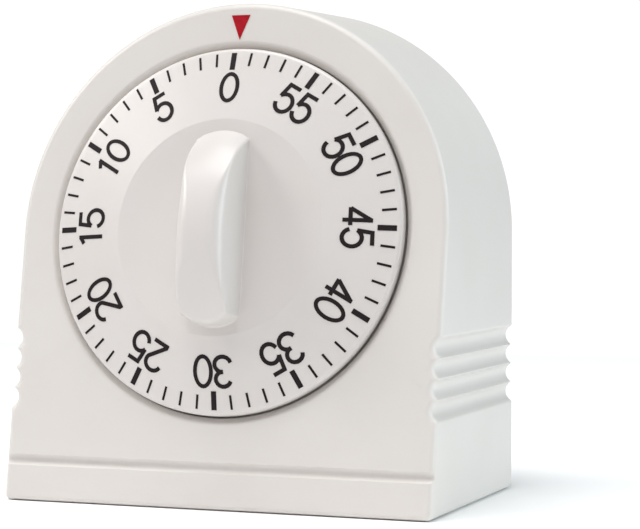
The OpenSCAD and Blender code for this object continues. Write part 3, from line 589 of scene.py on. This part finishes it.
def make_grip(material):
    """The grip: flanks that lean in from its outline, under a crest that is a circle's arc along
    the bar, z = h - R + sqrt(R^2 - (y + drop)^2), with a fillet r - sqrt(r^2 - (r - u)^2) wide
    where it meets the crown. The crest's edge is soft in the middle and crisp at both ends."""
    s = sizes()
    half, end_r = s["grip_w"] / 2, s["grip_end"]
    end = s["grip_len"] / 2 - end_r
    corner = end + math.sqrt(end_r**2 - half**2)
    crown = s["dial_proud"] + s["crown_rise"]
    foot, shoulder_drop, dome_r, dome_at = -0.5, 2.4, 18, 17

    def crest(x, y):
        """The crest's height; towards the upper end it also falls away to both sides."""
        way = y + s["crest_drop"] + x**2 / dome_r * np.clip(y / dome_at, 0, 1) ** 2
        arc = np.sqrt(np.maximum(s["crest_r"] ** 2 - way**2, 1))
        return crown + s["grip_h"] - s["crest_r"] + arc

    def field(p):
        x, y, h = p[..., 0], p[..., 1], p[..., 2]
        side = grip_plan(x, y, s) + (h - crown) * s["grip_in"] / s["grip_h"]
        steep = np.sqrt(np.maximum(1 - ((y + s["crest_drop"]) / s["crest_r"]) ** 2, 0.05))
        soft = 0.3 + 2.0 * np.exp(-(((y + 1.0) / 9.5) ** 4))
        return round_max(side, (h - crest(x, y)) * steep, soft)

    # The outline as a loop: up the right flank, over the upper arc, down the left flank, round the
    # lower arc.
    flank = np.concatenate([arc_steps(1.0, 5), np.linspace(1.0, corner, 36)[1:]])
    flank = np.concatenate([-corner + flank, (corner - flank)[::-1][1:]])
    a0 = math.asin((corner - end) / end_r)
    a = np.linspace(a0, math.pi - a0, 30)[1:-1]
    x = np.concatenate([
        np.full(len(flank), half), end_r * np.cos(a), np.full(len(flank), -half), -end_r * np.cos(a)
    ])
    y = np.concatenate([flank, end + end_r * np.sin(a), -flank, -end - end_r * np.sin(a)])
    spine = np.clip(y, -corner + 3, corner - 3)
    shoulder = crest(x, y) - shoulder_drop
    rows = [np.stack([x, y, np.minimum(crown + u, shoulder)], -1) for u in (
        foot - crown, -0.3, 0, 0.05, 0.12, 0.22, 0.36, 0.55, 0.8, 1.1
    )]
    low = np.minimum(crown + 1.1, shoulder)
    for b in np.linspace(0, 1, 9)[1:]:
        rows.append(np.stack([x, y, low + b * (shoulder - low)], -1))
    for d in arc_steps(shoulder_drop, 9)[::-1][1:]:
        rows.append(np.stack([x, y, crest(x, y) - d], -1))
    for d in (*arc_steps(shoulder_drop, 9)[1:] / half, 0.56, 0.7, 0.85, 1.0):
        px, py = x * (1 - d), y + (spine - y) * d
        rows.append(np.stack([px, py, crest(px, py)], -1))
    p = settle(np.stack(rows), field, 14)
    p[0, :, 2] = foot
    rise = np.clip((p[..., 2] - crown) / s["grip_foot"], 0, 1)
    flare = s["grip_foot"] * (1 - np.sqrt(1 - (1 - rise) ** 2)) * np.clip(
        1 + grip_plan(p[..., 0], p[..., 1], s), 0, 1
    )
    reach = np.maximum(np.hypot(p[..., 0], p[..., 1] - spine), 1e-6)
    p[..., 0] += flare * p[..., 0] / reach
    p[..., 1] += flare * (p[..., 1] - spine) / reach
    order = np.arange(len(rows))
    worn = np.clip(1 - abs(order - 23) / 5, 0, 1)[:, None] * np.ones(len(x))
    # Painted shade at the grip's foot, fading out over the fillet.
    hollow = np.clip(1 - rise, 0, 1) * 0.5
    skin = Skin()
    skin.grid(from_dial(p[..., 0], p[..., 1], p[..., 2]), wrap_u=True, worn=worn, hollow=hollow)
    under = np.stack([x, y, np.full(len(x), foot)], -1)
    middle = np.stack([0 * x, spine, np.full(len(x), foot)], -1)
    base = np.stack([p[0], (under + middle) / 2, middle])
    skin.grid(from_dial(base[..., 0], base[..., 1], base[..., 2]), wrap_u=True)
    return skin.piece("dial_grip", material, "dial", "dial", ["dial"], sharp=40)


# ---------------------------------------------------------------- materials


class Tree:
    """A node tree with short ways to add and join nodes."""

    def __init__(self, tree):
        self.tree = tree

    def node(self, kind, values=None, **settings):
        made = self.tree.nodes.new(kind)
        for key, value in settings.items():
            setattr(made, key, value)
        for key, value in (values or {}).items():
            if isinstance(value, bpy.types.NodeSocket):
                self.tree.links.new(value, made.inputs[key])
            else:
                made.inputs[key].default_value = value
        return made

    def math(self, operation, a, b=0.5, c=0.5, clamp=False):
        return self.node(
            "ShaderNodeMath", {0: a, 1: b, 2: c}, operation=operation, use_clamp=clamp
        ).outputs[0]

    def noise(self, vector, scale, detail=3.0, rough=0.5, stretch=None):
        if stretch:
            vector = self.node("ShaderNodeMapping", {"Vector": vector, "Scale": stretch}).outputs[0]
        return self.node(
            "ShaderNodeTexNoise",
            {"Vector": vector, "Scale": scale, "Detail": detail, "Roughness": rough}
        ).outputs["Fac"]

    def ramp(self, value, low, high):
        return self.node(
            "ShaderNodeMapRange", {"Value": value, "From Min": low, "From Max": high}, clamp=True
        ).outputs[0]

    def mix(self, share, a, b):
        made = self.node("ShaderNodeMix", {"Factor": share}, data_type="RGBA")
        for socket, value in ((6, a), (7, b)):
            if isinstance(value, bpy.types.NodeSocket):
                self.tree.links.new(value, made.inputs[socket])
            else:
                made.inputs[socket].default_value = value
        return made.outputs[2]


def effect(name, inputs, outputs, build):
    """A shader node group that puts out values only, built once."""
    if name in bpy.data.node_groups:
        return bpy.data.node_groups[name]
    group = bpy.data.node_groups.new(name, "ShaderNodeTree")
    for label, kind, default in inputs:
        socket = group.interface.new_socket(label, in_out="INPUT", socket_type=kind)
        socket.default_value = default
    for label, kind in outputs:
        group.interface.new_socket(label, in_out="OUTPUT", socket_type=kind)
    tree = Tree(group)
    source = tree.node("NodeGroupInput")
    target = tree.node("NodeGroupOutput")
    for label, socket in build(tree, source.outputs).items():
        group.links.new(socket, target.inputs[label])
    return group


NUMBER, VECTOR = "NodeSocketFloat", "NodeSocketVector"


def moulded_skin():
    """Fine pebble of a spark-finished mould over a slow ripple of the cooling plastic."""

    def build(t, given):
        fine = t.noise(given["Vector"], given["Pebble Scale"], 2.0, 0.55)
        coarse = t.noise(given["Vector"], 55.0, 2.0, 0.4)
        height = t.math(
            "ADD", t.math("MULTIPLY", fine, given["Pebble"]),
            t.math("MULTIPLY", coarse, given["Ripple"])
        )
        return {
            "Height": height, "Blotch": t.ramp(coarse, 0.3, 0.7), "Grain": t.ramp(fine, 0.3, 0.7)
        }

    return effect(
        "Moulded skin",
        [
            ("Vector", VECTOR, (0, 0, 0)), ("Pebble Scale", NUMBER, 3500.0),
            ("Pebble", NUMBER, 1.0), ("Ripple", NUMBER, 0.5)
        ],
        [("Height", NUMBER), ("Blotch", NUMBER), ("Grain", NUMBER)], build
    )


def edge_wear():
    """Rubbed places on the rounded edges, broken up by noise."""

    def build(t, given):
        edge = t.node("ShaderNodeAttribute", attribute_name="worn").outputs["Fac"]
        broken = t.ramp(t.noise(given["Vector"], given["Scale"], 4.0, 0.6), 0.42, 0.62)
        return {"Mask": t.math(
            "MULTIPLY", t.math("MULTIPLY", edge, broken), given["Amount"], clamp=True
        )}

    return effect(
        "Edge wear",
        [("Vector", VECTOR, (0, 0, 0)), ("Scale", NUMBER, 260.0), ("Amount", NUMBER, 0.5)],
        [("Mask", NUMBER)], build
    )


def dust_film():
    """Dust that settles on upward faces, and painted shade that darkens the recesses: the groove,
    the dial well and the grip's foot.
    """

    def build(t, given):
        up = t.node(
            "ShaderNodeSeparateXYZ", {0: t.node("ShaderNodeNewGeometry").outputs["Normal"]}
        ).outputs["Z"]
        hollow = t.node("ShaderNodeAttribute", attribute_name="hollow").outputs["Fac"]
        speck = t.ramp(t.noise(given["Vector"], 900.0, 4.0, 0.7), 0.45, 0.75)
        cloud = t.ramp(t.noise(given["Vector"], 70.0, 3.0, 0.6), 0.35, 0.7)
        lying = t.math("MULTIPLY", t.ramp(up, 0.3, 1.0), t.math("MULTIPLY", speck, cloud))
        # Painted shade in the recesses, flecked with noise.
        recess_shading = t.math("MULTIPLY", hollow, t.math("ADD", t.math("MULTIPLY", speck, 0.4), 0.3))
        both = t.math(
            "ADD", t.math("MULTIPLY", lying, given["Lying"]),
            t.math("MULTIPLY", recess_shading, given["Held"]), clamp=True
        )
        return {"Mask": both}

    return effect(
        "Dust and recess shade", [("Vector", VECTOR, (0, 0, 0)), ("Lying", NUMBER, 0.2), ("Held", NUMBER, 0.3)],
        [("Mask", NUMBER)], build
    )


def fine_scratches():
    """Hairline handling marks: noise drawn out along two directions and cut to thin lines."""

    def build(t, given):
        first = t.noise(given["Vector"], 90.0, 2.0, 0.5, stretch=(1.0, 14.0, 14.0))
        second = t.noise(given["Vector"], 70.0, 2.0, 0.5, stretch=(16.0, 2.0, 1.5))
        line = t.math(
            "MAXIMUM", t.math("COMPARE", first, 0.55, 0.004), t.math("COMPARE", second, 0.47, 0.003)
        )
        patch = t.ramp(t.noise(given["Vector"], 30.0, 1.0, 0.5), 0.5, 0.65)
        return {"Mask": t.math("MULTIPLY", t.math("MULTIPLY", line, patch), given["Amount"])}

    return effect(
        "Fine scratches", [("Vector", VECTOR, (0, 0, 0)), ("Amount", NUMBER, 0.5)],
        [("Mask", NUMBER)], build
    )


def turned_lines():
    """Lathe lines: noise of the distance from the axis, with a little run-out round the turn."""

    def build(t, given):
        part = t.node("ShaderNodeSeparateXYZ", {0: given["Vector"]})
        flat = t.node("ShaderNodeCombineXYZ", {0: part.outputs[0], 1: part.outputs[1]}).outputs[0]
        far = t.node("ShaderNodeVectorMath", {0: flat}, operation="LENGTH").outputs["Value"]
        line = t.node(
            "ShaderNodeCombineXYZ",
            {
                0: far, 1: t.math("MULTIPLY", part.outputs[0], 0.02),
                2: t.math("MULTIPLY", part.outputs[2], 0.3)
            }
        ).outputs[0]
        value = t.noise(line, given["Lines"], 3.0, 0.6)
        return {"Height": value, "Band": t.ramp(t.noise(line, 600.0, 2.0, 0.5), 0.3, 0.7)}

    return effect(
        "Turned lines", [("Vector", VECTOR, (0, 0, 0)), ("Lines", NUMBER, 5000.0)],
        [("Height", NUMBER), ("Band", NUMBER)], build
    )


def rolled_sheet():
    """Rolled and brushed sheet: noise drawn out along one direction, with faint tarnish clouds."""

    def build(t, given):
        line = t.noise(given["Vector"], given["Lines"], 4.0, 0.65, stretch=(0.03, 1.0, 1.0))
        cloud = t.ramp(t.noise(given["Vector"], 120.0, 4.0, 0.6), 0.4, 0.7)
        return {"Height": line, "Tarnish": cloud}

    return effect(
        "Rolled sheet", [("Vector", VECTOR, (0, 0, 0)), ("Lines", NUMBER, 3000.0)],
        [("Height", NUMBER), ("Tarnish", NUMBER)], build
    )


def begin(name):
    """A material with its tree, its shader and the object's own coordinates."""
    made = bpy.data.materials.new(name)
    made.use_nodes = True
    tree = Tree(made.node_tree)
    shader = made.node_tree.nodes["Principled BSDF"]
    place = tree.node("ShaderNodeTexCoord").outputs["Object"]
    return made, tree, shader, place


def use(tree, group, **values):
    return tree.node(
        "ShaderNodeGroup", {k.replace("_", " "): v for k, v in values.items()}, node_tree=group
    ).outputs


def darker(rgba, share, tint=(1, 1, 1)):
    return tuple(c * share * k for c, k in zip(rgba[:3], tint)) + (1.0,)


def plastic(name, base, pebble, rough, lying, recess_shading, wear):
    """Moulded plastic: slight tone variation, pebble, rubbed edges, hairlines, a dusting on upward
    faces and painted shade in the recesses.
    """
    c = colours()
    made, t, shader, place = begin(name)
    skin = use(
        t, moulded_skin(), Vector=place, Pebble_Scale=pebble[0], Pebble=pebble[1], Ripple=pebble[2]
    )
    rub = use(t, edge_wear(), Vector=place, Amount=wear)["Mask"]
    dust = use(t, dust_film(), Vector=place, Lying=lying, Held=recess_shading)["Mask"]
    hair = use(t, fine_scratches(), Vector=place, Amount=0.5)["Mask"]
    tone = t.mix(skin["Blotch"], base, darker(base, 0.975, (1, 0.995, 0.985)))
    tone = t.mix(rub, tone, darker(base, 1.05))
    tone = t.mix(t.math("MULTIPLY", hair, 0.15), tone, darker(base, 0.8))
    # The grey of the dusting also paints shade into the recesses.
    tone = t.mix(dust, tone, c["dust"])
    t.tree.links.new(tone, shader.inputs["Base Color"])
    gloss = t.math("ADD", t.math("MULTIPLY", skin["Grain"], 0.07), rough)
    gloss = t.math("ADD", gloss, t.math("MULTIPLY", dust, 0.3))
    gloss = t.math("SUBTRACT", gloss, t.math("MULTIPLY", rub, 0.12))
    t.tree.links.new(gloss, shader.inputs["Roughness"])
    height = t.math("SUBTRACT", skin["Height"], t.math("MULTIPLY", hair, 0.6))
    bump = t.node("ShaderNodeBump", {"Strength": pebble[3], "Distance": 0.00004, "Height": height})
    t.tree.links.new(bump.outputs[0], shader.inputs["Normal"])
    shader.inputs["IOR"].default_value = 1.5
    shader.inputs["Specular IOR Level"].default_value = 0.5
    return made


def ink(name, base):
    """Pad-printed ink: uneven density, pinholes, a slight edge in the gloss."""
    made, t, shader, place = begin(name)
    density = t.ramp(t.noise(place, 900.0, 4.0, 0.65), 0.3, 0.75)
    hole = t.math("GREATER_THAN", t.noise(place, 5200.0, 2.0, 0.5), 0.74)
    tone = t.mix(density, base, darker(base, 1.4, (1.05, 1, 1)))
    tone = t.mix(t.math("MULTIPLY", hole, 0.2), tone, (0.3, 0.29, 0.28, 1))
    t.tree.links.new(tone, shader.inputs["Base Color"])
    t.tree.links.new(
        t.math("ADD", t.math("MULTIPLY", density, 0.15), 0.5), shader.inputs["Roughness"]
    )
    shader.inputs["Specular IOR Level"].default_value = 0.12
    bump = t.node("ShaderNodeBump", {"Strength": 0.25, "Distance": 0.00002, "Height": density})
    t.tree.links.new(bump.outputs[0], shader.inputs["Normal"])
    return made


def metal(name, base, kind, rough, lines, tarnish=None, centre=(0, 0, 0), amount=0.3, coat=0.0):
    """Metal with turned or rolled lines about `centre` in the dial's plane, tarnish clouds and
    hairlines."""
    made, t, shader, place = begin(name)
    middle = t.node("ShaderNodeVectorMath", {0: place, 1: centre}, operation="SUBTRACT").outputs[0]
    flat = t.node(
        "ShaderNodeMapping", {"Vector": middle, "Rotation": (LEAN - math.pi / 2, 0, 0)}
    ).outputs[0]
    if kind == "turned":
        out = use(t, turned_lines(), Vector=flat, Lines=lines)
        cloud = out["Band"]
    else:
        out = use(t, rolled_sheet(), Vector=flat, Lines=lines)
        cloud = out["Tarnish"]
    hair = use(t, fine_scratches(), Vector=place, Amount=0.8)["Mask"]
    old = t.ramp(t.noise(place, 140.0, 5.0, 0.65), 0.45, 0.75)
    tone = t.mix(t.math("MULTIPLY", cloud, 0.5), base, darker(base, 0.86))
    tone = t.mix(t.math("MULTIPLY", old, amount), tone, tarnish or darker(base, 0.6))
    t.tree.links.new(tone, shader.inputs["Base Color"])
    gloss = t.math("ADD", t.math("MULTIPLY", cloud, 0.10), rough)
    gloss = t.math("ADD", gloss, t.math("MULTIPLY", old, 0.12))
    t.tree.links.new(gloss, shader.inputs["Roughness"])
    height = t.math("SUBTRACT", out["Height"], t.math("MULTIPLY", hair, 0.5))
    bump = t.node("ShaderNodeBump", {"Strength": 0.35, "Distance": 0.00002, "Height": height})
    t.tree.links.new(bump.outputs[0], shader.inputs["Normal"])
    shader.inputs["Metallic"].default_value = 1.0
    shader.inputs["Coat Weight"].default_value = coat
    return made


def finish_node(name, material, bevel=0.0):
    """Gives a CAD node its material, and with a bevel its broken edges."""
    node = frame["nodes"][name]
    node.data.materials.clear()
    node.data.materials.append(material)
    if bevel:
        weld = node.modifiers.new("Weld", "WELD")
        weld.merge_threshold = 1e-6
        edge = node.modifiers.new("Broken edges", "BEVEL")
        edge.width, edge.segments = bevel * MM, 2
        edge.limit_method, edge.angle_limit = "ANGLE", BROKEN_EDGE_ANGLE
        edge.harden_normals = True


def middle_of(name):
    low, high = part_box(name)
    return tuple((low + high) / 2)


# ---------------------------------------------------------------- operators


class TIMER_OT_case(Operator):
    """Makes the case with its groove, finger scallops and dial well."""

    bl_idname = "timer.case"
    bl_label = "Case"

    def execute(self, context):
        make_case(plastic(
            "Housing plastic", colours()["case"], (3800.0, 1.0, 0.5, 0.35), 0.40, 0.10, 0.35, 0.5
        ))
        return {"FINISHED"}


class TIMER_OT_dial(Operator):
    """Makes the dial and its bar grip."""

    bl_idname = "timer.dial"
    bl_label = "Dial and grip"

    def execute(self, context):
        material = plastic(
            "Dial plastic", colours()["dial"], (2600.0, 0.5, 0.8, 0.2), 0.30, 0.05, 0.25, 0.4
        )
        make_dial(material)
        make_grip(material)
        return {"FINISHED"}


class TIMER_OT_print(Operator):
    """Gives the dial's printed numbers and marks, and the red pointer, their ink."""

    bl_idname = "timer.print"
    bl_label = "Printed marks"

    def execute(self, context):
        c = colours()
        finish_node("dial_markings", ink("Black ink", c["ink"]))
        finish_node("pointer_mark", ink("Red ink", c["red_ink"]))
        return {"FINISHED"}


class TIMER_OT_cover(Operator):
    """Finishes the slotted rear cover, its screws and the rubber feet."""

    bl_idname = "timer.cover"
    bl_label = "Rear cover"

    def execute(self, context):
        c = colours()
        finish_node(
            "rear_cover",
            plastic("Cover plastic", c["case"], (2400.0, 1.6, 0.4, 0.5), 0.46, 0.10, 0.35, 0.4),
            0.25
        )
        zinc = metal("Zinc plate", c["zinc"], "rolled", 0.28, 2600.0, amount=0.35)
        for name in ("rear_cover_screws", "movement_screws", "pillar_screws"):
            finish_node(name, zinc, 0.12)
        finish_node(
            "feet",
            plastic("Foot rubber", c["rubber"], (2000.0, 1.0, 0.6, 0.5), 0.62, 0.10, 0.40, 0.3), 0.2
        )
        return {"FINISHED"}


class TIMER_OT_movement(Operator):
    """Finishes the plates, wheels, arbors, spring and levers of the clockwork."""

    bl_idname = "timer.movement"
    bl_label = "Clockwork"

    def execute(self, context):
        c = colours()
        brown = (0.30, 0.17, 0.06, 1)
        sheet = metal("Brass plate", c["brass"], "rolled", 0.30, 2600.0, brown, amount=0.35)
        for name in ("front_plate", "back_plate"):
            finish_node(name, sheet, 0.15)
        for name in (
            "great_wheel", "second_wheel", "third_wheel", "escape_wheel", "ring_wheel", "cam_disc",
            "arbor_bushes", "balance_bar"
        ):
            finish_node(
                name,
                metal(
                    "Brass " + name, c["brass"], "turned", 0.24, 5200.0, brown, middle_of(name),
                    0.25
                )
            )
        for name in (
            "main_arbor", "second_arbor", "third_arbor", "escape_arbor", "balance_arbor",
            "ring_arbor", "hammer_arbor", "pillars", "bell_post", "bell_nut", "spring_post",
            "release_pivot", "thrust_washer", "click_rivet"
        ):
            finish_node(
                name,
                metal(
                    "Steel " + name, c["steel"], "turned", 0.22, 6000.0, None, middle_of(name), 0.2
                )
            )
        rolled = metal("Steel sheet", c["steel"], "rolled", 0.32, 3200.0, None, amount=0.3)
        for name in (
            "ratchet_wheel", "click", "pallet_lever", "hammer_tail", "hammer_lever", "hammer_head",
            "release_lever"
        ):
            finish_node(name, rolled, 0.08)
        finish_node(
            "mainspring",
            metal(
                "Blued spring", c["blued"], "rolled", 0.26, 3600.0, (0.16, 0.10, 0.06, 1),
                amount=0.4, coat=0.3
            )
        )
        finish_node(
            "bell",
            metal("Bell plate", c["bell"], "turned", 0.08, 2600.0, None, middle_of("bell"), 0.15),
            0.2
        )
        return {"FINISHED"}


class TIMER_OT_stage(Operator):
    """Makes the floor, the soft studio light and the camera."""

    bl_idname = "timer.stage"
    bl_label = "Stage"

    def execute(self, context):
        scene = context.scene
        reach, steps = 0.42, 13
        side = np.linspace(-reach, reach, steps)
        x, y = np.meshgrid(side, side)
        mesh = bpy.data.meshes.new("floor")
        index = np.arange(steps**2).reshape(steps, steps)
        quads = np.stack(
            [index[:-1, :-1], index[:-1, 1:], index[1:, 1:], index[1:, :-1]], -1
        ).reshape(-1, 4)
        mesh.from_pydata(np.stack([x, y, 0 * x], -1).reshape(-1, 3), [], quads)
        floor = bpy.data.objects.new("floor", mesh)
        scene.collection.objects.link(floor)
        made, t, shader, place = begin("Pale paper floor")
        tone = t.mix(t.noise(place, 400.0, 3.0, 0.6), (0.93, 0.935, 0.94, 1), (0.95, 0.95, 0.95, 1))
        t.tree.links.new(tone, shader.inputs["Base Color"])
        shader.inputs["Roughness"].default_value = 0.9
        shader.inputs["Specular IOR Level"].default_value = 0.1
        mesh.materials.append(made)

        world = bpy.data.worlds.new("Studio")
        scene.world = world
        world.use_nodes = True
        w = Tree(world.node_tree)
        lamp = world.node_tree.nodes["Background"]
        lamp.inputs["Color"].default_value = (0.95, 0.975, 1.0, 1)
        lamp.inputs["Strength"].default_value = 0.30
        seen = w.node("ShaderNodeBackground", {"Color": (1, 1, 1, 1), "Strength": 1.05})
        ray = w.node("ShaderNodeLightPath").outputs["Is Camera Ray"]
        both = w.node("ShaderNodeMixShader", {0: ray, 1: lamp.outputs[0], 2: seen.outputs[0]})
        world.node_tree.links.new(both.outputs[0], world.node_tree.nodes["World Output"].inputs[0])

        def soft_box(name, place, aim, width, height, power, tone):
            light = bpy.data.lights.new(name, "AREA")
            light.shape, light.size, light.size_y = "RECTANGLE", width, height
            light.energy, light.color = power, tone
            made = bpy.data.objects.new(name, light)
            scene.collection.objects.link(made)
            made.location = place
            way = np.array(aim) - np.array(place)
            made.rotation_euler = (
                math.atan2(math.hypot(way[0], way[1]), -way[2]), 0, math.atan2(-way[0], way[1])
            )

        soft_box("key", (-0.94, -0.34, 0.80), (0, 0, 0.04), 0.45, 0.45, 7.0, (1.0, 0.99, 0.97))
        soft_box("top", (-0.10, -0.22, 1.20), (0, 0, 0.03), 0.7, 0.7, 10.5, (1.0, 1.0, 1.0))
        soft_box("side", (1.20, 0.25, 0.45), (0, 0, 0.05), 0.8, 0.8, 9.0, (0.82, 0.96, 1.0))
        soft_box("front", (0.40, -1.25, 0.35), (0, 0, 0.05), 0.8, 0.8, 2.0, (1.0, 0.88, 0.86))

        camera = bpy.data.objects.new("camera", bpy.data.cameras.new("camera"))
        scene.collection.objects.link(camera)
        camera.location = CAMERA_PLACE
        camera.rotation_euler = (math.radians(90 - CAMERA_DOWN), 0, math.radians(CAMERA_TURN))
        camera.data.lens, camera.data.sensor_width = CAMERA_LENS, CAMERA_SENSOR
        scene.camera = camera
        scene.view_settings.view_transform = "Standard"
        return {"FINISHED"}


class TIMER_PT_panel(Panel):
    """Lists the timer's pieces, sizes and colours."""

    bl_label = "Kitchen timer"
    bl_idname = "TIMER_PT_panel"
    bl_space_type = "VIEW_3D"
    bl_region_type = "UI"
    bl_category = "Timer"

    def draw(self, context):
        for step in STEPS:
            self.layout.operator(step.bl_idname)
        for group, kind in (
            (context.scene.timer_sizes, TimerSizes), (context.scene.timer_colours, TimerColours)
        ):
            box = self.layout.box()
            for key in kind.__annotations__:
                box.prop(group, key)


STEPS = (
    TIMER_OT_case, TIMER_OT_dial, TIMER_OT_print, TIMER_OT_cover, TIMER_OT_movement, TIMER_OT_stage
)
CLASSES = (TimerSizes, TimerColours, *STEPS, TIMER_PT_panel)


def register():
    for kind in CLASSES:
        bpy.utils.register_class(kind)
    bpy.types.Scene.timer_sizes = PointerProperty(type=TimerSizes)
    bpy.types.Scene.timer_colours = PointerProperty(type=TimerColours)


def unregister():
    del bpy.types.Scene.timer_sizes
    del bpy.types.Scene.timer_colours
    for kind in reversed(CLASSES):
        bpy.utils.unregister_class(kind)


def main():
    register()
    for step in STEPS:
        group, name = step.bl_idname.split(".")
        getattr(getattr(bpy.ops, group), name)()
    bpy.context.view_layer.update()


if __name__ == "__main__":
    main()
